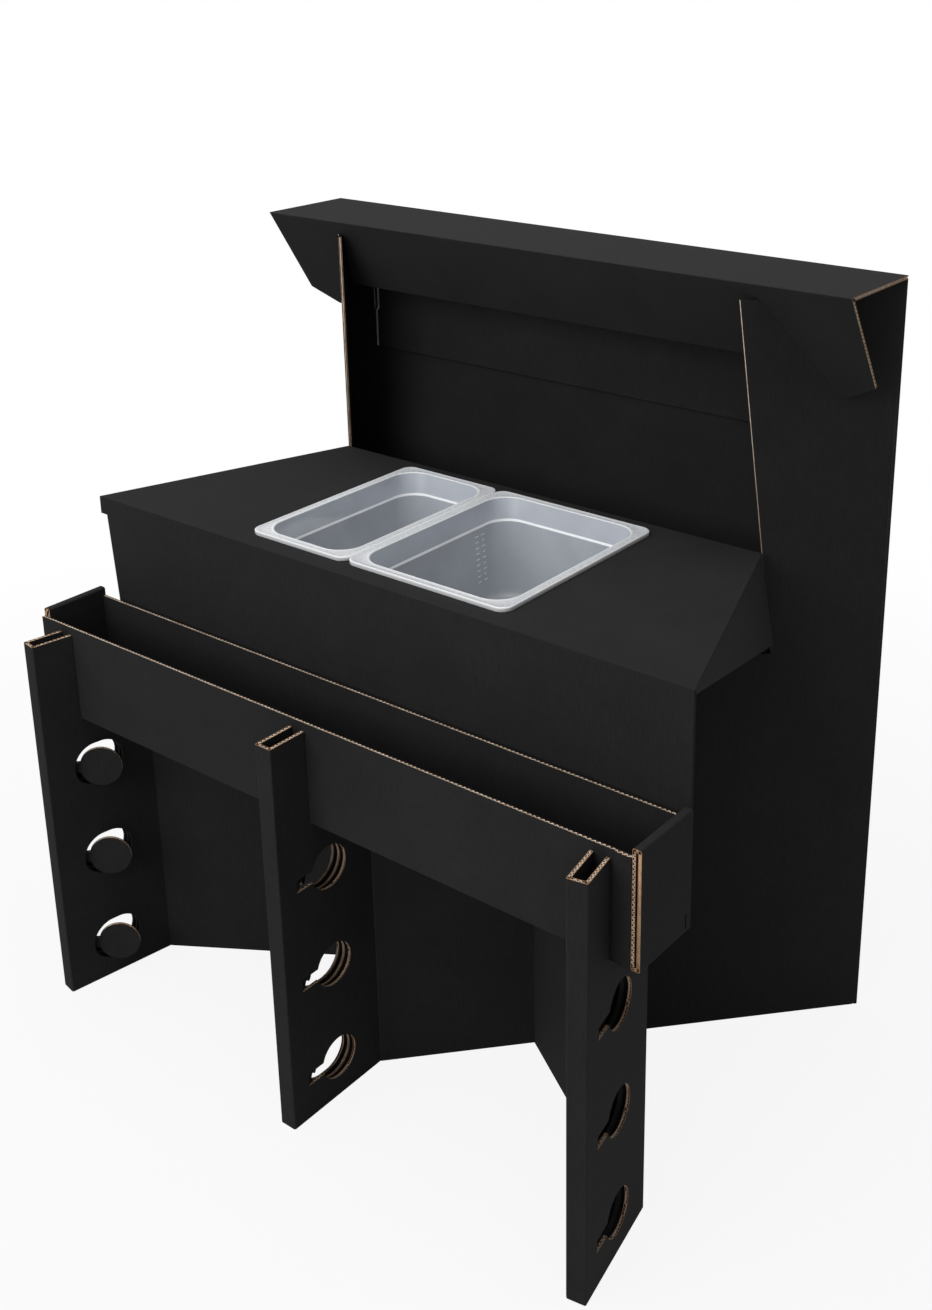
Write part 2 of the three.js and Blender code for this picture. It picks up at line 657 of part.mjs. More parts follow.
// Deck that lies on the wall tops and reaches back between the wings to the rear panel.
function buildLedge() {
  const wingFoot = wingEdgeY(LEDGE_UNDER) - SLACK;
  const waist = wingFoot - LEDGE_NARROW_RUN;
  const rear = REAR_INNER_Y - SEAT;
  const reach = -BOARD - FIT;
  const right = [
    [wallX(LEDGE_FRONT_Y, -BOARD / 2), LEDGE_FRONT_Y],
    [wallX(waist, -BOARD / 2), waist],
    [wallX(wingFoot, reach), wingFoot],
    [wallX(rear, reach), rear],
  ];
  const left = right.map(([x, y]) => [-x, y]).reverse();
  return shell(prism([...right, ...left], LEDGE_UNDER, LEDGE_TOP));
}

// Ring of points round a rounded rectangle at one level.
function panRing(width, length, radius, level) {
  const ring = [];
  const corners = [[1, 1], [-1, 1], [-1, -1], [1, -1]];
  corners.forEach(([sideX, sideY], quarter) => {
    for (let i = 0; i <= PAN_CORNER_STEPS; i += 1) {
      const turn = (quarter + i / PAN_CORNER_STEPS) * Math.PI / 2;
      const x = sideX * (width / 2 - radius) + radius * Math.cos(turn);
      const y = sideY * (length / 2 - radius) + radius * Math.sin(turn);
      ring.push(new THREE.Vector3(x, y, level));
    }
  });
  return ring;
}

// Closed skin through a list of rings, with a flat fan on the first and the last.
function skin(rings) {
  const around = rings[0].length;
  const positions = [];
  const index = [];
  for (const ring of rings) {
    for (const point of ring) {
      positions.push(point.x, point.y, point.z);
    }
  }
  for (let r = 0; r < rings.length - 1; r += 1) {
    for (let i = 0; i < around; i += 1) {
      const a = r * around + i;
      const b = r * around + ((i + 1) % around);
      index.push(a, b, b + around);
      index.push(a, b + around, a + around);
    }
  }
  const first = positions.length / 3;
  positions.push(0, 0, rings[0][0].z);
  positions.push(0, 0, rings[rings.length - 1][0].z);
  const lastStart = (rings.length - 1) * around;
  for (let i = 0; i < around; i += 1) {
    const next = (i + 1) % around;
    index.push(first, next, i);
    index.push(first + 1, lastStart + i, lastStart + next);
  }
  const geometry = new THREE.BufferGeometry();
  geometry.setAttribute('position', new THREE.Float32BufferAttribute(positions, 3));
  geometry.setIndex(index);
  return geometry;
}

function buildPan(width, centreX) {
  const seat = COUNTER_TOP + SEAT;
  const rimTop = PAN_RIM_TOP;
  const rimUnder = rimTop - PAN_RIM_LIP;
  const mouthW = width - 2 * PAN_RIM;
  const mouthL = PAN_LENGTH - 2 * PAN_RIM;
  const bodyR = PAN_MOUTH_RADIUS;
  const skinOut = 2 * PAN_WALL;
  const step = rimTop - PAN_STEP_DROP;
  const bottom = rimTop - PAN_DEPTH;
  const inset = 2 * PAN_STEP_IN;
  const taper = 2 * PAN_TAPER;
  const lipIn = 2 * PAN_RIM_LIP;
  const heel = 2 * PAN_HEEL;
  const edge = 2 * PAN_EDGE;
  const ring = (dw, radius, level) => panRing(mouthW + dw, mouthL + dw, radius, level);
  const rimOut = 2 * PAN_RIM;
  const rings = [
    ring(skinOut - inset - taper - heel, bodyR - PAN_HEEL, bottom),
    ring(skinOut - inset - taper, bodyR, bottom + PAN_HEEL),
    ring(skinOut - inset, bodyR, step - PAN_STEP_IN),
    ring(skinOut, bodyR, step),
    ring(skinOut, bodyR, rimUnder),
    ring(rimOut - lipIn, PAN_RIM_RADIUS, rimUnder),
    ring(rimOut - lipIn, PAN_RIM_RADIUS, seat),
    ring(rimOut, PAN_RIM_RADIUS, seat),
    ring(rimOut, PAN_RIM_RADIUS, rimTop - PAN_EDGE),
    ring(rimOut - edge, PAN_RIM_RADIUS - PAN_EDGE, rimTop),
    ring(edge, bodyR + PAN_EDGE, rimTop),
    ring(0, bodyR, rimTop - PAN_EDGE),
    ring(0, bodyR, step + PAN_WALL),
    ring(-inset, bodyR, step - PAN_STEP_IN + PAN_WALL),
    ring(-inset - taper, bodyR, bottom + PAN_HEEL + PAN_WALL),
    ring(-inset - taper - heel, bodyR - PAN_HEEL, bottom + PAN_WALL),
  ];
  const pan = skin(rings);
  pan.translate(centreX, PAN_CENTRE_Y, 0);
  return pan;
}

addPiece('rear_panel', buildRearPanel(), SHADE_BLACK);
const sideWall = buildSideWall();
addPiece('right_side_wall', sideWall, SHADE_BLACK);
addPiece('left_side_wall', mirrored(sideWall), SHADE_BLACK);

addPiece('centre_leg', buildLeg(CENTRE_LEG_DEPTH, centreFront, straightBack), BLACK);
const splayedLeg = buildLeg(splayDepth, splayFront, splayBack);
addPiece('right_leg', splayedLeg, BLACK);
addPiece('left_leg', mirrored(splayedLeg), BLACK);
addPiece('centre_leg_tongue', buildTongue(CENTRE_LEG_DEPTH, centreFront, straightBack), BLACK);
const splayedTongue = buildTongue(splayDepth, splayFront, splayBack);
addPiece('right_leg_tongue', splayedTongue, BLACK);
addPiece('left_leg_tongue', mirrored(splayedTongue), BLACK);

const centreFlap = buildFlap(straightBack);
const rightFlap = buildFlap(splayBack);
const leftFlap = mirrored(rightFlap);
HOLE_NAMES.forEach((level, i) => {
  const height = HOLE_HEIGHTS[i];
  const centreCrease = creaseAt(centreFront, straightBack, height);
  const rightCrease = creaseAt(splayFront, splayBack, height);
  const leftCrease = rightCrease.clone().setX(-rightCrease.x);
  hangPiece(`centre_leg_flap_${level}`, centreFlap, BLACK, centreCrease, FLAP_OPEN);
  hangPiece(`right_leg_flap_${level}`, rightFlap, BLACK, rightCrease, FLAP_OPEN);
  hangPiece(`left_leg_flap_${level}`, leftFlap, BLACK, leftCrease, -FLAP_OPEN);
});

const brace = buildBrace();
addPiece('right_brace', brace, SHADE_BLACK);
addPiece('left_brace', mirrored(brace), SHADE_BLACK);

addPiece('counter_tray', buildCounter(), TOP_BLACK);
const skirt = buildSkirt();
addPiece('right_counter_skirt', skirt, SHADE_BLACK);
addPiece('left_counter_skirt', mirrored(skirt), SHADE_BLACK);

const pansWidth = PAN_NARROW + PAN_PITCH_GAP + PAN_WIDE;
addPiece('narrow_pan', buildPan(PAN_NARROW, (PAN_NARROW - pansWidth) / 2), CLEAR);
addPiece('wide_pan', buildPan(PAN_WIDE, (pansWidth - PAN_WIDE) / 2), CLEAR);

addPiece('rail_trough', buildRailTrough(), BLACK);
const railOuter = RAIL_WIDTH / 2;
const railInner = railOuter - RAIL_END_THICK;
addPiece('rail_right_end', buildRailEnd(railOuter, railInner, RAIL_FRONT_Y), BLACK);
const leftEndFront = RAIL_FRONT_Y + BOARD + SEAT;
addPiece('rail_left_end', buildRailEnd(-railOuter, -railInner, leftEndFront), BLACK);

addPiece('shelf_lid', buildLid(), TOP_BLACK);
addPiece('bottle_ledge', buildLedge(), SHADE_BLACK);

export default bar;
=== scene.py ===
import json
import math

import bmesh
import bpy
from mathutils import Matrix, Vector


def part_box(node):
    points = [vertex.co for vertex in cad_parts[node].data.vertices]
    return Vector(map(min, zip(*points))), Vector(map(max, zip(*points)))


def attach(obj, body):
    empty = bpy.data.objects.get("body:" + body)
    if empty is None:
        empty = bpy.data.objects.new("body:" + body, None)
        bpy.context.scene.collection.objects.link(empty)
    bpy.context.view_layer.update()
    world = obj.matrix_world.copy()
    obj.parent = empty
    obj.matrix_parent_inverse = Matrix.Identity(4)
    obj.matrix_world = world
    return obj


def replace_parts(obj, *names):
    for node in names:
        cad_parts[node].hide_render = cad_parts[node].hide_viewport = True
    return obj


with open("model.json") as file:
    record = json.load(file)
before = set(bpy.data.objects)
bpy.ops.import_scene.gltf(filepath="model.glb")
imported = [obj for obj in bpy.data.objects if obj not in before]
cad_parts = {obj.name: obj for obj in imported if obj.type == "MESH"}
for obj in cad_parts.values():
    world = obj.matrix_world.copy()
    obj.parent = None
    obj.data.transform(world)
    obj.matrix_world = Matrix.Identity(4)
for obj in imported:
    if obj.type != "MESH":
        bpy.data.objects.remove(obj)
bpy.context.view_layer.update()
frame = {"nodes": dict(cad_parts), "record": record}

nodes = frame["nodes"]
body_of_node = {node: body
                for body, members in frame["record"]["behaviour"]["bodies"].items()
                for node in members}

BOARD = 0.0045         # sheet thickness
LINER = 0.0006         # paper liner left standing round a cut edge
FLUTE = 0.0063         # flute pitch
SINK = 0.0018          # depth of a cut face below its liners
CORE_ROOT = 0.0019     # depth that flutes and cores reach to
SHORT_RUN = 0.0015     # shorter sides and strips of a cut face are skipped
GAP_SLACK = 0.0007     # how far a strip's width may differ from the board
TAB_SLACK = 0.0021     # the same, upwards, for the rail's six-sided tab ends
HALF_DEPTH = 0.3405    # the row frame's y = 0 lies this far behind the leg fronts


def at(x, y, z):
    """A point of the CAD's design frame (mm from the leg fronts) in the row frame."""
    return Vector((x / 1000, y / 1000 - HALF_DEPTH, z / 1000))


# Materials
def new_material(name):
    mat = bpy.data.materials.new(name)
    mat.use_nodes = True
    tree = mat.node_tree
    shader = tree.nodes["Principled BSDF"]
    return mat, tree, shader


def add(tree, kind, **values):
    node = tree.nodes.new(kind)
    for key, value in values.items():
        if key in node.inputs:
            node.inputs[key].default_value = value
        else:
            setattr(node, key, value)
    return node


def ramp(tree, source, stops):
    node = tree.nodes.new("ShaderNodeValToRGB")
    elements = node.color_ramp.elements
    while len(elements) < len(stops):
        elements.new(0.5)
    for element, (place, colour) in zip(elements, stops):
        element.position = place
        element.color = (*colour, 1)
    tree.links.new(source, node.inputs["Fac"])
    return node


def board_material(name, tone, turn=0.0, wear=0.0, flute_along_z=False):
    """Printed black liner: paper mottling, fibres, faint flute lines, lighter scuffs."""
    mat, tree, shader = new_material(name)
    link = tree.links.new
    where = add(tree, "ShaderNodeTexCoord")
    mottle = add(tree, "ShaderNodeTexNoise", Scale=9.0, Detail=6.0, Roughness=0.62)
    fibre = add(tree, "ShaderNodeTexNoise", Scale=420.0, Detail=4.0, Roughness=0.7)
    stretch = add(tree, "ShaderNodeMapping", Scale=(1, 1, 0.16))
    link(where.outputs["Object"], mottle.inputs["Vector"])
    link(where.outputs["Object"], stretch.inputs["Vector"])
    link(stretch.outputs[0], fibre.inputs["Vector"])
    tilt = math.pi / 2 if flute_along_z else 0
    turned = add(tree, "ShaderNodeMapping", Rotation=(0, tilt, turn))
    link(where.outputs["Object"], turned.inputs["Vector"])
    lines = add(tree, "ShaderNodeTexWave", Scale=0.3142 / FLUTE, Distortion=0.35)
    lines.inputs["Detail Scale"].default_value = 0.6
    link(turned.outputs[0], lines.inputs["Vector"])
    base = ramp(tree, mottle.outputs["Fac"],
                [(0.25, [c * 0.86 for c in tone]), (0.75, [c * 1.14 for c in tone])])
    grain = ramp(tree, fibre.outputs["Fac"],
                 [(0.3, (0.8, 0.8, 0.8)), (0.72, (1.18, 1.17, 1.16))])
    mixed = add(tree, "ShaderNodeMix", data_type="RGBA", blend_type="MULTIPLY")
    mixed.inputs[0].default_value = 0.75
    link(base.outputs[0], mixed.inputs[6])
    link(grain.outputs[0], mixed.inputs[7])
    shade = ramp(tree, lines.outputs["Fac"],
                 [(0.0, (0.985, 0.985, 0.985)), (1.0, (1.015, 1.015, 1.015))])
    striped = add(tree, "ShaderNodeMix", data_type="RGBA", blend_type="MULTIPLY")
    striped.inputs[0].default_value = 0.8
    link(mixed.outputs[2], striped.inputs[6])
    link(shade.outputs[0], striped.inputs[7])
    scuff = add(tree, "ShaderNodeTexNoise", Scale=46.0, Detail=9.0, Roughness=0.78)
    link(where.outputs["Object"], scuff.inputs["Vector"])
    start = 0.66 - 0.16 * wear
    marks = ramp(tree, scuff.outputs["Fac"], [(start, (0, 0, 0)), (start + 0.12, (1, 1, 1))])
    worn = add(tree, "ShaderNodeMix", data_type="RGBA", blend_type="MIX")
    amount = add(tree, "ShaderNodeMath", operation="MULTIPLY")
    amount.inputs[1].default_value = 0.10 + 0.5 * wear
    link(marks.outputs[0], amount.inputs[0])
    link(amount.outputs[0], worn.inputs[0])
    link(striped.outputs[2], worn.inputs[6])
    worn.inputs[7].default_value = (0.062, 0.060, 0.058, 1)
    link(worn.outputs[2], shader.inputs["Base Color"])
    rough = add(tree, "ShaderNodeMapRange")
    rough.inputs["To Min"].default_value = 0.76
    rough.inputs["To Max"].default_value = 0.94
    link(mottle.outputs["Fac"], rough.inputs["Value"])
    link(rough.outputs[0], shader.inputs["Roughness"])
    shader.inputs["Specular IOR Level"].default_value = 0.05
    bump = add(tree, "ShaderNodeBump", Strength=0.10, Distance=0.0006)
    link(fibre.outputs["Fac"], bump.inputs["Height"])
    wash = add(tree, "ShaderNodeBump", Strength=0.02, Distance=0.0003)
    link(lines.outputs["Fac"], wash.inputs["Height"])
    link(bump.outputs[0], wash.inputs["Normal"])
    link(wash.outputs[0], shader.inputs["Normal"])
    return mat


def kraft_material(name, low, high):
    """Bare cut paper: warm tan with fibres and darker smudges."""
    mat, tree, shader = new_material(name)
    link = tree.links.new
    where = add(tree, "ShaderNodeTexCoord")
    fibre = add(tree, "ShaderNodeTexNoise", Scale=900.0, Detail=5.0, Roughness=0.7)
    smudge = add(tree, "ShaderNodeTexNoise", Scale=70.0, Detail=5.0, Roughness=0.65)
    link(where.outputs["Object"], fibre.inputs["Vector"])
    link(where.outputs["Object"], smudge.inputs["Vector"])
    base = ramp(tree, fibre.outputs["Fac"], [(0.28, low), (0.7, high)])
    dirt = ramp(tree, smudge.outputs["Fac"], [(0.3, (0.55, 0.5, 0.46)), (0.58, (1, 1, 1))])
    mixed = add(tree, "ShaderNodeMix", data_type="RGBA", blend_type="MULTIPLY")
    mixed.inputs[0].default_value = 0.85
    link(base.outputs[0], mixed.inputs[6])
    link(dirt.outputs[0], mixed.inputs[7])
    link(mixed.outputs[2], shader.inputs["Base Color"])
    shader.inputs["Roughness"].default_value = 0.9
    shader.inputs["Specular IOR Level"].default_value = 0.2
    bump = add(tree, "ShaderNodeBump", Strength=0.35, Distance=0.0004)
    link(fibre.outputs["Fac"], bump.inputs["Height"])
    link(bump.outputs[0], shader.inputs["Normal"])
    return mat


INK = (0.0258, 0.0258, 0.0266)
WALL_TURN = -math.atan2(514.7, 479.7)    # direction of the side walls in plan
black_x = board_material("board_black_x", INK)
black_y = board_material("board_black_y", INK, turn=math.pi / 2)
black_z = board_material("board_black_flute_level", INK, flute_along_z=True)
black_wall = board_material("board_black_wall", INK, turn=WALL_TURN)
black_wall_left = board_material("board_black_wall_left", INK, turn=math.pi - WALL_TURN)
fold_black = board_material("board_fold_worn", [c * 1.2 for c in INK], wear=0.55)
kraft = kraft_material("cut_edge_kraft", (0.43, 0.235, 0.120), (0.78, 0.480, 0.285))
# Painted highlight on top of the paper's tone: a lighter copy of the kraft for the wavy flutes,
# where they catch the light.
kraft_flute_painted_highlight = kraft_material("cut_edge_flute_painted_highlight", (0.74, 0.57, 0.43), (0.96, 0.84, 0.70))
kraft_pale = kraft_material("cut_edge_pale", (0.56, 0.48, 0.40), (0.86, 0.79, 0.70))
# Painted shade: a dark reddish-brown copy of the kraft for the sunk floors of cut edges, standing
# for the shade in those recesses.
kraft_recess_painted_shade = kraft_material("cut_edge_recess_painted_shade", (0.085, 0.040, 0.020), (0.165, 0.085, 0.046))
# Partly painted shade: this black stands for print and folds on cut edges, and is also set on cut
# edges that lie in shade or in gaps.
black_cut_ink_and_painted_shade = board_material("cut_edge_ink_and_painted_shade", [c * 0.8 for c in INK], wear=0.3)


# Dressed board
LINER_FACE, CUT, FOLD, INK_AND_SHADE, RECESS = range(5)


def strips_of(face):
    """Straight strips of a cut face, between facing edges one board apart, as
    (start, along, across, length). Empty if the face isn't a cut edge."""
    sides = []
    loops = list(face.loops)
    for loop in loops:
        a, b = loop.vert.co, loop.link_loop_next.vert.co
        others = [f for f in loop.edge.link_faces if f is not face]
        level = any(f.normal.dot(face.normal) > 0.9 for f in others)
        if (b - a).length > SHORT_RUN and not level:
            sides.append((a, b, (b - a).normalized(), sum(f.calc_area() for f in others)))
    runs = []
    for i, (a, b, along, area_i) in enumerate(sides):
        for c, d, back, area_j in sides[i + 1:]:
            if along.dot(back) > -0.985:
                continue
            inward = face.normal.cross(along)
            gap = (c - a).dot(inward)
            most = TAB_SLACK if len(loops) == 6 else GAP_SLACK
            if not -GAP_SLACK < gap - BOARD < most:
                continue
            first = max(0.0, (d - a).dot(along))
            last = min((b - a).length, (c - a).dot(along))
            if last - first > SHORT_RUN:
                start = a + along * first + inward * (gap / 2)
                runs.append((area_i + area_j, start, along, inward, last - first))
    if not runs:
        return []
    best = max(runs, key=lambda r: r[0])
    if len(loops) <= 5:
        runs = [r for r in runs if abs(r[2].dot(best[2])) > 0.99]
    if sum(r[-1] for r in runs) * BOARD < 0.45 * face.calc_area():
        return []
    return [r[1:] for r in runs]


def ribbon(bm, start, along, across, normal, length, smooth, pale=0.0):
    """Layer standing in a cut edge, just under the liners' level: wavy where flutes
    show, else a solid core. Where the cut runs along one flute the core is pale and
    takes that share of the width."""
    if length > FLUTE:
        start = start + along * LINER
        length = length - 2 * LINER
    swing = 0 if smooth else BOARD / 2 - LINER * 1.15
    thick = (BOARD / 2 - LINER * 1.1) * (pale or 1) if smooth else 0.00048
    steps = 1 if smooth else max(1, round(length / FLUTE * 2)) * 4
    sunk = 0.00004 if pale else 0.0002
    rows = []
    for i in range(steps + 1):
        angle = math.pi * i / 4
        slope = 0 if smooth else swing * math.pi * steps / 4 / length * math.cos(angle)
        side = (across - along * slope).normalized() * thick
        centre = start + along * (length * i / steps) + across * (swing * math.sin(angle))
        rows.append([bm.verts.new(centre + side - normal * CORE_ROOT),
                     bm.verts.new(centre + side - normal * sunk),
                     bm.verts.new(centre - side - normal * sunk),
                     bm.verts.new(centre - side - normal * CORE_ROOT)])
    made = [bm.faces.new((a[k], a[(k + 1) % 4], b[(k + 1) % 4], b[k]))
            for a, b in zip(rows, rows[1:]) for k in range(4)]
    made += [bm.faces.new(rows[0][::-1]), bm.faces.new(rows[-1])]
    for face in made:
        # Wavy flutes take index 2, the lighter kraft of painted highlight.
        face.material_index = 1 if pale else 0 if smooth else 2


def recess(bm, kind, faces, lip_kind):
    """Sinks a set of cut faces between two liners left standing at the surface; the sunk faces take
    the dark kraft of painted shade.
    """
    chosen = set(faces)
    inward = {}
    level = {}
    rim = []
    for face in faces:
        for loop in face.loops:
            v = loop.vert
            level[v] = level.get(v, Vector()) + face.normal
            if all(f is face or f not in chosen for f in loop.edge.link_faces):
                w = loop.link_loop_next.vert
                m = face.normal.cross((w.co - v.co).normalized())
                rim.append((v, w))
                inward.setdefault(v, []).append(m)
                inward.setdefault(w, []).append(m)
    lip, floor = {}, {}
    for v, total in level.items():
        ms = inward.get(v, [])
        shift = Vector()
        for m in ms * 8:
            shift += m * (LINER - shift.dot(m))
        lip[v] = bm.verts.new(v.co + shift) if ms else v
        floor[v] = bm.verts.new(v.co + shift * 1.05 - total.normalized() * SINK)
    for v, w in rim:
        bm.faces.new((v, w, lip[w], lip[v]))[kind] = lip_kind
        bm.faces.new((lip[v], lip[w], floor[w], floor[v]))[kind] = RECESS
    for face in faces:
        bm.faces.new([floor[v] for v in face.verts])[kind] = RECESS
    bmesh.ops.delete(bm, geom=faces, context="FACES_ONLY")


def publish(name, mesh, node):
    """Adds a mesh to the scene as a piece that rides on its node's body."""
    piece = bpy.data.objects.new(name, mesh)
    bpy.context.scene.collection.objects.link(piece)
    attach(piece, body_of_node[node])
    return piece


def dress(name, liner, ink_and_shade_edge=None, fold=0.0018, fluted=None, solid=None, core=1.0, lip=CUT):
    """Copies a board node, rounds its folds and opens its cut edges to show liners and
    flutes. The black-edge rule (centre, normal, area) is true for printed or folded edges and for
    cut edges blacked as painted shade.
    fluted(centre, normal) is true where flutes show and not a pale core of one flute;
    core is that core's share of the width. solid(place) is true where a strip of a cut
    edge shows a smooth core. lip is the kind of the liners' own edges."""
    bm = bmesh.new()
    bm.from_mesh(nodes[name].data)
    bmesh.ops.remove_doubles(bm, verts=bm.verts, dist=2e-5)
    bmesh.ops.dissolve_limit(bm, angle_limit=0.008, verts=bm.verts, edges=bm.edges)
    bm.normal_update()
    kind = bm.faces.layers.int.new("kind")
    waves = bmesh.new()
    for face in bm.faces:
        centre, normal = face.calc_center_median(), face.normal.copy()
        runs = strips_of(face)
        if not runs:
            continue
        if ink_and_shade_edge and ink_and_shade_edge(centre, normal, face.calc_area()):
            face[kind] = INK_AND_SHADE
            continue
        face[kind] = CUT
        if normal.z < -0.9 and centre.z < 0.02:
            continue
        pale = core if fluted and not fluted(centre, normal) else 0.0
        for start, along, across, length in runs:
            smooth = bool(pale or (solid and solid(start)))
            ribbon(waves, start, along, across, normal, length, smooth, pale)
    if fold:
        edges = [e for e in bm.edges
                 if len(e.link_faces) == 2 and e.calc_face_angle(0) > 0.45
                 and not any(f[kind] in (CUT, INK_AND_SHADE) for f in e.link_faces)]
        if edges:
            made = bmesh.ops.bevel(bm, geom=edges, offset=fold, offset_type="OFFSET",
                                   segments=3, profile=0.5, affect="EDGES",
                                   clamp_overlap=True)
            for face in made["faces"]:
                face[kind] = FOLD
    bm.normal_update()
    recess(bm, kind, [f for f in bm.faces if f[kind] == CUT], lip)
    low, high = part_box(name)
    for v in list(bm.verts) + list(waves.verts):
        v.co = [min(max(v.co[i], low[i]), high[i]) for i in range(3)]
    mesh = bpy.data.meshes.new("dressed_" + name)
    for mat in (liner, kraft, fold_black, black_cut_ink_and_painted_shade, kraft_recess_painted_shade):
        mesh.materials.append(mat)
    for face in bm.faces:
        face.material_index = face[kind]
        face.smooth = face[kind] == FOLD
    bmesh.ops.triangulate(bm, faces=[f for f in bm.faces if len(f.verts) > 4])
    bm.to_mesh(mesh)
    bm.free()
    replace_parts(publish("dressed_" + name, mesh, name), name)
    if len(waves.faces):
        mesh = bpy.data.meshes.new("flutes_" + name)
        for mat in (kraft, kraft_pale, kraft_flute_painted_highlight):
            mesh.materials.append(mat)
        waves.to_mesh(mesh)
        for poly in mesh.polygons:
            poly.use_smooth = True
        publish("flutes_" + name, mesh, name)
    waves.free()


# Rules for which edges of a node are black (print, folds and painted shade), fluted or solid, by
# place in the row frame
def level_edge(centre, normal):
    return abs(normal.z) > 0.7


def upright_edge(centre, normal, area):
    return abs(normal.z) < 0.3


def low_or_nose_edge(centre, normal, area):
    low = centre.z < 0.6 and normal.z > -0.5
    nose = normal.z > 0.4 and centre.z > 1.05 and area < 3e-4
    return low or nose


def rear_edge(centre, normal, area):
    return normal.y > 0.85


def rear_or_hole_edge(centre, normal, area):
    return normal.y > 0.85 or 0.02 < centre.z < 0.43


def crease_end(centre, normal, area):
    return abs(normal.z) < 0.1 and area > 5e-5


def every_edge(centre, normal, area):
    return True


def slot_edge(centre, normal, area):
    return 0.6 < abs(normal.x) < 0.97 or (normal.z < -0.9 and area < 1e-4)


def slit_edge(centre, normal, area):
    return abs(normal.x) < 0.3 and 0.445 < centre.z < 0.58 and -0.275 < centre.y < -0.185


def outer_ply(place):
    return abs(place.x) > 0.508


def counter_fold_edge(centre, normal, area):
    return abs(normal.z) < 0.5 and centre.z > 0.6


# Black cut edges as painted shade: the side walls' low edges, the left leg's hole rims, the counter
# skirts and the rail ends' slits; crease ends and the counter's folds are black as folds.
dress("rear_panel", black_x, ink_and_shade_edge=upright_edge, fluted=level_edge)
dress("right_side_wall", black_wall, ink_and_shade_edge=low_or_nose_edge, fluted=level_edge)
dress("left_side_wall", black_wall_left, ink_and_shade_edge=low_or_nose_edge, fluted=level_edge, core=0.45)
dress("right_brace", black_x, ink_and_shade_edge=upright_edge, fluted=level_edge)
dress("left_brace", black_x, ink_and_shade_edge=upright_edge, fluted=level_edge)
dress("bottle_ledge", black_x, ink_and_shade_edge=every_edge)
for leg in ("left", "centre", "right"):
    dress(leg + "_leg", black_y, ink_and_shade_edge=rear_or_hole_edge if leg == "left" else rear_edge)
    dress(leg + "_leg_tongue", black_y, ink_and_shade_edge=rear_edge if leg == "centre" else every_edge)
    for height in ("low", "mid", "high"):
        dress(f"{leg}_leg_flap_{height}", black_y, ink_and_shade_edge=crease_end, fold=0)
dress("counter_tray", black_x, ink_and_shade_edge=counter_fold_edge)
dress("right_counter_skirt", black_y, ink_and_shade_edge=every_edge)
dress("left_counter_skirt", black_y, ink_and_shade_edge=every_edge)
dress("rail_trough", black_x, lip=INK_AND_SHADE)
dress("rail_right_end", black_z, ink_and_shade_edge=slit_edge, solid=outer_ply)
dress("rail_left_end", black_z, ink_and_shade_edge=slit_edge, solid=outer_ply)
dress("shelf_lid", black_x, ink_and_shade_edge=slot_edge)


def fold_strip(name, node, x, y, top):
    """Rounded fold that closes the seam between two leaves of one sheet."""
    bm = bmesh.new()
    rings = []
    for z, radius in ((0.3, 1.9), (0.8, 2.2), (top - 0.6, 2.2), (top, 1.9)):
        rings.append([bm.verts.new(at(x + radius * math.cos(i * math.pi / 8),
                                      y + radius * math.sin(i * math.pi / 8), z))
                      for i in range(16)])
    for a, b in zip(rings, rings[1:]):
        for i in range(16):
            j = (i + 1) % 16
            bm.faces.new((a[i], a[j], b[j], b[i])).smooth = True
    bm.faces.new(rings[0][::-1])
    bm.faces.new(rings[-1])
    mesh = bpy.data.meshes.new(name)
    mesh.materials.append(fold_black)
    bm.to_mesh(mesh)
    bm.free()
    publish(name, mesh, node)


def bare_end(name, side, y, points, width):
    """Bare paper margin up the end of a ply of the lid's rear flap."""
    bm = bmesh.new()
    rows = []
    for x, z in points:
        outer, inner = side * x, side * (x - width)
        rows.append([bm.verts.new(at(outer, y + 0.4, z)), bm.verts.new(at(outer, y - 0.25, z)),
                     bm.verts.new(at(inner, y - 0.25, z)), bm.verts.new(at(inner, y + 0.4, z))])
    for a, b in zip(rows, rows[1:]):
        for k in range(4):
            bm.faces.new((a[k], a[(k + 1) % 4], b[(k + 1) % 4], b[k]))
    bm.faces.new(rows[0][::-1])
    bm.faces.new(rows[-1])
    bmesh.ops.recalc_face_normals(bm, faces=bm.faces)
    mesh = bpy.data.meshes.new(name)
    mesh.materials.append(kraft_pale)
    bm.to_mesh(mesh)
    bm.free()
    publish(name, mesh, "shelf_lid")


for side, word in ((1, "right"), (-1, "left")):
    bare_end(f"bare_end_front_ply_{word}", side, 667.2,
             ((410.5, 865.6), (410.5, 924.0), (406.5, 928.0), (406.5, 1090.0)), 3.4)
    bare_end(f"bare_end_rear_ply_{word}", side, 671.7, ((417.9, 865.6), (417.9, 1090.0)), 2.0)

# Leg and seam numbers are the CAD's, in mm of the design frame
SPLAY = math.radians(10)
LEG_REAR_X, LEG_REAR_Y = 442, 165.5
SEAM_IN, SEAM_BACK, SEAM_TOP = 10.75, 0.15, 437.5
for side, leg in ((1, "right_leg"), (-1, "left_leg")):
    seam_x = LEG_REAR_X - SEAM_IN * math.cos(SPLAY) - SEAM_BACK * math.sin(SPLAY)
    seam_y = LEG_REAR_Y - SEAM_IN * math.sin(SPLAY) + SEAM_BACK * math.cos(SPLAY)
    fold_strip("fold_behind_" + leg, leg, side * seam_x, seam_y, SEAM_TOP)


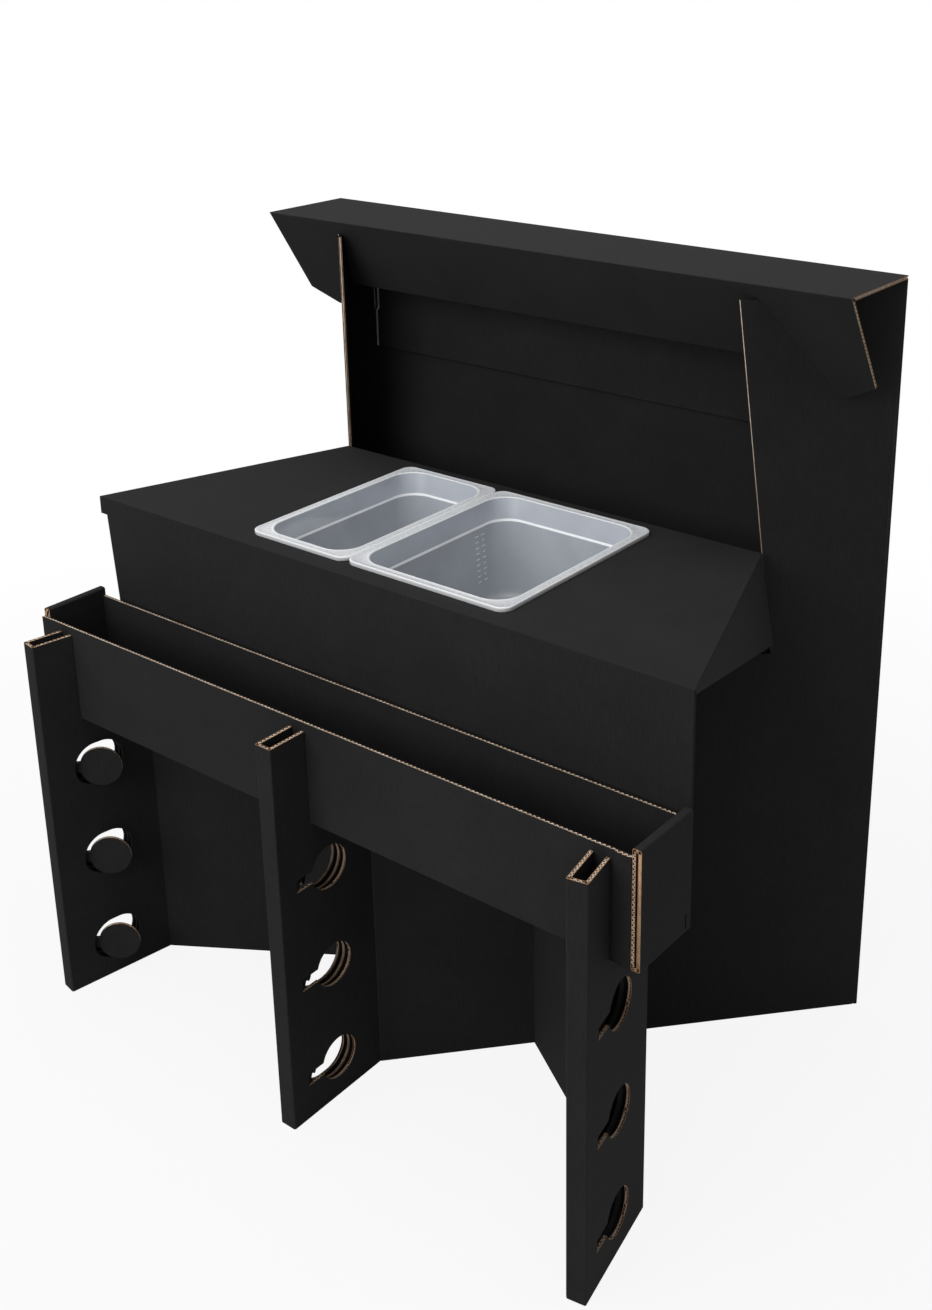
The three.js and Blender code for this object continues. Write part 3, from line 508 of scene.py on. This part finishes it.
# Pans
def pan_material(name, cover, low, high, rough):
    """Clear moulded plastic with faint clouding and scuffs; cover is the share of the
    light its faces stop."""
    mat, tree, shader = new_material(name)
    link = tree.links.new
    where = add(tree, "ShaderNodeTexCoord")
    cloud = add(tree, "ShaderNodeTexNoise", Scale=14.0, Detail=4.0, Roughness=0.55)
    scuff = add(tree, "ShaderNodeTexNoise", Scale=160.0, Detail=6.0, Roughness=0.7)
    link(where.outputs["Object"], cloud.inputs["Vector"])
    link(where.outputs["Object"], scuff.inputs["Vector"])
    tint = ramp(tree, cloud.outputs["Fac"], [(0.3, low), (0.7, high)])
    link(tint.outputs[0], shader.inputs["Base Color"])
    dull = add(tree, "ShaderNodeMapRange")
    dull.inputs["To Min"].default_value = rough
    dull.inputs["To Max"].default_value = rough + 0.15
    link(scuff.outputs["Fac"], dull.inputs["Value"])
    link(dull.outputs[0], shader.inputs["Roughness"])
    shader.inputs["IOR"].default_value = 1.49
    shader.inputs["Alpha"].default_value = cover
    bump = add(tree, "ShaderNodeBump", Strength=0.02, Distance=0.0005)
    link(scuff.outputs["Fac"], bump.inputs["Height"])
    link(bump.outputs[0], shader.inputs["Normal"])
    return mat


PAN_FLOOR, PAN_LOW, PAN_HIGH, PAN_FLANGE, PAN_EDGE = range(5)
# Lit and shaded copies of one clear plastic: the tint darkens from the high wall down to the floor
# as painted shade, and the flange and the bright edge are near white as painted reflection and
# highlight.
pan_materials = (
    pan_material("pan_clear_floor", 0.95, (0.44, 0.455, 0.48), (0.52, 0.535, 0.56), 0.3),
    pan_material("pan_clear_low_wall", 0.90, (0.50, 0.525, 0.57), (0.58, 0.61, 0.66), 0.3),
    pan_material("pan_clear_high_wall", 0.80, (0.60, 0.64, 0.71), (0.70, 0.74, 0.81), 0.25),
    pan_material("pan_clear_flange_painted_reflection", 0.78, (0.88, 0.91, 0.95), (0.95, 0.97, 0.99), 0.2),
    pan_material("pan_edge_painted_highlight", 1.0, (0.94, 0.96, 0.98), (0.98, 0.99, 1.0), 0.15))

# Pan sizes in mm
PAN_RIM, PAN_LIP, PAN_WALL = 13.0, 3.0, 2.2     # flange width and thickness, wall
PAN_STEP, PAN_IN, PAN_TAPER = 36.0, 3.0, 7.0    # step below the rim, its width, taper
MOUTH_R, RIM_R, HEEL = 36.0, 16.0, 12.0         # corner radii of mouth, rim and floor


def pan_profile(top, bottom):
    """Section of a pan wall as (offset from the mouth, corner radius, height), up the
    outside and down the inside."""
    step = top - PAN_STEP
    path = []
    for i in range(7):
        t = i / 6 * math.pi / 2
        grow = HEEL * math.sin(t)
        path.append((PAN_WALL - PAN_IN - PAN_TAPER - HEEL + grow, MOUTH_R - HEEL + grow,
                     bottom + HEEL - HEEL * math.cos(t)))
    path += [(PAN_WALL - PAN_IN, MOUTH_R, step - PAN_IN - 0.6),
             (PAN_WALL - PAN_IN + 0.5, MOUTH_R, step - PAN_IN),
             (PAN_WALL - 0.5, MOUTH_R, step - 0.2), (PAN_WALL, MOUTH_R, step + 0.6)]
    path += [(PAN_WALL, MOUTH_R, top - PAN_LIP - 0.8), (PAN_WALL + 0.8, MOUTH_R, top - PAN_LIP)]
    path += [(PAN_RIM - PAN_LIP, RIM_R, top - PAN_LIP), (PAN_RIM - PAN_LIP + 0.4, RIM_R, top - 5.8),
             (PAN_RIM - 0.3, RIM_R, top - 6.0), (PAN_RIM, RIM_R, top - 5.6)]
    for i in range(5):
        t = i / 4 * math.pi / 2
        path.append((PAN_RIM - 1.6 + 1.6 * math.cos(t), RIM_R - 0.8 + 0.8 * math.cos(t),
                     top - 1.6 + 1.6 * math.sin(t)))
    path += [(10.4, RIM_R + 1, top - 0.1), (9.4, RIM_R + 2, top - 0.8),
             (3.4, MOUTH_R - 4, top - 0.8), (2.6, MOUTH_R - 1, top - 0.2),
             (1.6, MOUTH_R, top), (0.6, MOUTH_R, top - 0.3), (0, MOUTH_R, top - 1.2)]
    path += [(0, MOUTH_R, step + PAN_WALL + 1.0), (-0.5, MOUTH_R, step + PAN_WALL + 0.1),
             (-2.2, MOUTH_R, step + PAN_WALL - 0.2),
             (-PAN_IN + 0.2, MOUTH_R, step + PAN_WALL - 0.6),
             (-PAN_IN, MOUTH_R, step + PAN_WALL - 1.6)]
    for i in range(7):
        t = i / 6 * math.pi / 2
        path.append((-PAN_IN - PAN_TAPER - HEEL + HEEL * math.cos(t),
                     MOUTH_R - HEEL + HEEL * math.cos(t),
                     bottom + PAN_WALL + HEEL - HEEL * math.sin(t)))
    return path


def pan_zone(first, second, top, bottom):
    """Which material a band of the section takes: painted highlight on the rim's outer edge,
    the mouth's lip and the step; the other bands take the flange, the high wall, the low wall and
    the floor, darker downwards as painted shade."""
    offset, z = (first[0] + second[0]) / 2, (first[2] + second[2]) / 2
    if z > top - 6.5:
        bright = offset > PAN_RIM - 1.7 or (offset < 2.7 and z > top - 1.3)
        return PAN_EDGE if bright else PAN_FLANGE
    if 0 < z - (top - PAN_STEP) < 4 and -PAN_IN < offset < 0:
        return PAN_EDGE
    if z > top - PAN_STEP:
        return PAN_HIGH
    return PAN_LOW if z > bottom + HEEL else PAN_FLOOR


def make_pan(name, mark_side):
    """A drop-in pan in its node's box, with measuring marks on one inner wall."""
    low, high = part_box(name)
    centre = Vector(((low[0] + high[0]) / 2, (low[1] + high[1]) / 2, 0))
    half_w = (high[0] - low[0]) * 500 - PAN_RIM
    half_l = (high[1] - low[1]) * 500 - PAN_RIM
    top, bottom = high[2] * 1000, low[2] * 1000
    bm = bmesh.new()
    steps = 10
    rings = []
    path = pan_profile(top, bottom)
    for offset, radius, z in path:
        ring = []
        for quarter, (sx, sy) in enumerate(((1, 1), (-1, 1), (-1, -1), (1, -1))):
            for i in range(steps + 1):
                turn = (quarter + i / steps) * math.pi / 2
                x = sx * (half_w + offset - radius) + radius * math.cos(turn)
                y = sy * (half_l + offset - radius) + radius * math.sin(turn)
                ring.append(bm.verts.new(centre + Vector((x, y, z)) / 1000))
        rings.append(ring)
    around = len(rings[0])
    for r, (a, b) in enumerate(zip(rings, rings[1:])):
        zone = pan_zone(path[r], path[r + 1], top, bottom)
        for i in range(around):
            j = (i + 1) % around
            face = bm.faces.new((a[i], a[j], b[j], b[i]))
            face.material_index = zone
            face.smooth = True
    bm.faces.new(rings[0][::-1])
    bm.faces.new(rings[-1])
    for k in range(9):
        z = top - PAN_STEP - 10 - 8.5 * k
        lean = PAN_TAPER * (top - PAN_STEP - z) / (top - PAN_STEP - bottom - HEEL)
        for y, long in ((half_l - 64, 7.0), (half_l - 50, 4.5 if k % 2 else 7.0)):
            x = mark_side * (half_w - PAN_IN - lean)
            tick(bm, centre + Vector((x, y, z)) / 1000, mark_side, long / 1000)
    mesh = bpy.data.meshes.new("moulded_" + name)
    for mat in pan_materials:
        mesh.materials.append(mat)
    bm.to_mesh(mesh)
    bm.free()
    mesh.set_sharp_from_angle(angle=math.radians(50))
    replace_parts(publish("moulded_" + name, mesh, name), name)


def tick(bm, place, side, length):
    """A small raised measuring mark on a pan's inner wall, with sloped sides, in the edge material
    of painted highlight.
    """
    inner = Vector((-side, 0, 0))
    rows = []
    for out, trim in ((-0.0006, 0.0), (0.0004, 0.0), (0.0007, 0.0004)):
        half_y, half_z = length / 2 - trim, 0.0008 - trim
        rows.append([bm.verts.new(place + inner * out + Vector((0, sy * half_y, sz * half_z)))
                     for sy, sz in ((-1, -1), (1, -1), (1, 1), (-1, 1))])
    for a, b in zip(rows, rows[1:]):
        for i in range(4):
            j = (i + 1) % 4
            bm.faces.new((a[i], a[j], b[j], b[i])).material_index = PAN_EDGE
    bm.faces.new(rows[0][::-1]).material_index = PAN_EDGE
    bm.faces.new(rows[-1]).material_index = PAN_EDGE


make_pan("narrow_pan", 1)
make_pan("wide_pan", -1)


# Stage, light, camera
def seen_rays(tree):
    """1 for the rays that show the background: straight, mirrored and through clear plastic."""
    path = add(tree, "ShaderNodeLightPath")
    mirrored = add(tree, "ShaderNodeMath", operation="MAXIMUM")
    tree.links.new(path.outputs["Is Glossy Ray"], mirrored.inputs[0])
    tree.links.new(path.outputs["Is Transmission Ray"], mirrored.inputs[1])
    seen = add(tree, "ShaderNodeMath", operation="MAXIMUM")
    tree.links.new(path.outputs["Is Camera Ray"], seen.inputs[0])
    tree.links.new(mirrored.outputs[0], seen.inputs[1])
    return seen


def floor_material():
    """White to the eye, with a little of the object's shadow near it."""
    mat, tree, shader = new_material("pale_floor")
    link = tree.links.new
    shader.inputs["Base Color"].default_value = (0.70, 0.70, 0.70, 1)
    shader.inputs["Roughness"].default_value = 0.9
    shader.inputs["Specular IOR Level"].default_value = 0.1
    glow = add(tree, "ShaderNodeEmission", Strength=1.0)
    seen = seen_rays(tree)
    where = add(tree, "ShaderNodeTexCoord")
    far = add(tree, "ShaderNodeVectorMath", operation="LENGTH")
    link(where.outputs["Object"], far.inputs[0])
    share = add(tree, "ShaderNodeMapRange", interpolation_type="SMOOTHSTEP")
    share.inputs["From Min"].default_value = 0.7
    share.inputs["From Max"].default_value = 2.2
    share.inputs["To Min"].default_value = 0.90
    share.inputs["To Max"].default_value = 1.0
    link(far.outputs["Value"], share.inputs["Value"])
    part = add(tree, "ShaderNodeMath", operation="MULTIPLY")
    link(seen.outputs[0], part.inputs[0])
    link(share.outputs[0], part.inputs[1])
    mix = add(tree, "ShaderNodeMixShader")
    link(part.outputs[0], mix.inputs[0])
    link(shader.outputs[0], mix.inputs[1])
    link(glow.outputs[0], mix.inputs[2])
    out = tree.nodes["Material Output"]
    link(mix.outputs[0], out.inputs["Surface"])
    return mat


def stage():
    mesh = bpy.data.meshes.new("floor")
    half = 30
    corners = [(-half, -half, 0), (half, -half, 0), (half, half, 0), (-half, half, 0)]
    mesh.from_pydata(corners, [], [(0, 1, 2, 3)])
    mesh.materials.append(floor_material())
    floor = bpy.data.objects.new("floor", mesh)
    floor.location.z = -0.0005
    bpy.context.scene.collection.objects.link(floor)
    world = bpy.data.worlds.new("studio")
    world.use_nodes = True
    tree = world.node_tree
    back = tree.nodes["Background"]
    back.inputs["Color"].default_value = (1, 1, 1, 1)
    seen = seen_rays(tree)
    level = add(tree, "ShaderNodeMapRange")
    level.inputs["To Min"].default_value = 0.22
    level.inputs["To Max"].default_value = 1.0
    tree.links.new(seen.outputs[0], level.inputs["Value"])
    tree.links.new(level.outputs[0], back.inputs["Strength"])
    bpy.context.scene.world = world


def lamp(name, place, target, size, power):
    data = bpy.data.lights.new(name, "AREA")
    data.shape = "RECTANGLE"
    data.size, data.size_y = size
    data.energy = power
    obj = bpy.data.objects.new(name, data)
    obj.location = place
    aim = Vector(target) - Vector(place)
    obj.rotation_euler = aim.to_track_quat("-Z", "Y").to_euler()
    bpy.context.scene.collection.objects.link(obj)


def camera():
    """The photo's camera, fitted to points on the bar."""
    data = bpy.data.cameras.new("camera")
    data.sensor_fit = "VERTICAL"
    data.sensor_height = 36
    data.lens = 43.23
    data.shift_x = -0.0534
    data.shift_y = -0.1577
    data.clip_end = 100
    obj = bpy.data.objects.new("camera", data)
    right = Vector((0.795532, 0.605883, -0.005864))
    down = Vector((0.190212, -0.258915, -0.946986))
    forward = Vector((-0.575281, 0.752242, -0.321222))
    turn = Matrix((right, -down, -forward)).transposed()
    obj.matrix_world = Matrix.Translation(at(1296.5, -1143.0, 1525.9)) @ turn.to_4x4()
    bpy.context.scene.collection.objects.link(obj)
    bpy.context.scene.camera = obj


stage()
lamp("key", (-0.4, -3.8, 2.5), (0, 0, 0.5), (3.2, 2.6), 67)
lamp("top", (-0.3, -0.3, 4.2), (0, 0, 0.7), (3.0, 3.0), 75)
lamp("fill", (3.4, -2.2, 1.8), (0, 0, 0.6), (2.4, 2.4), 1)
camera()
bpy.context.scene.view_settings.view_transform = "Standard"
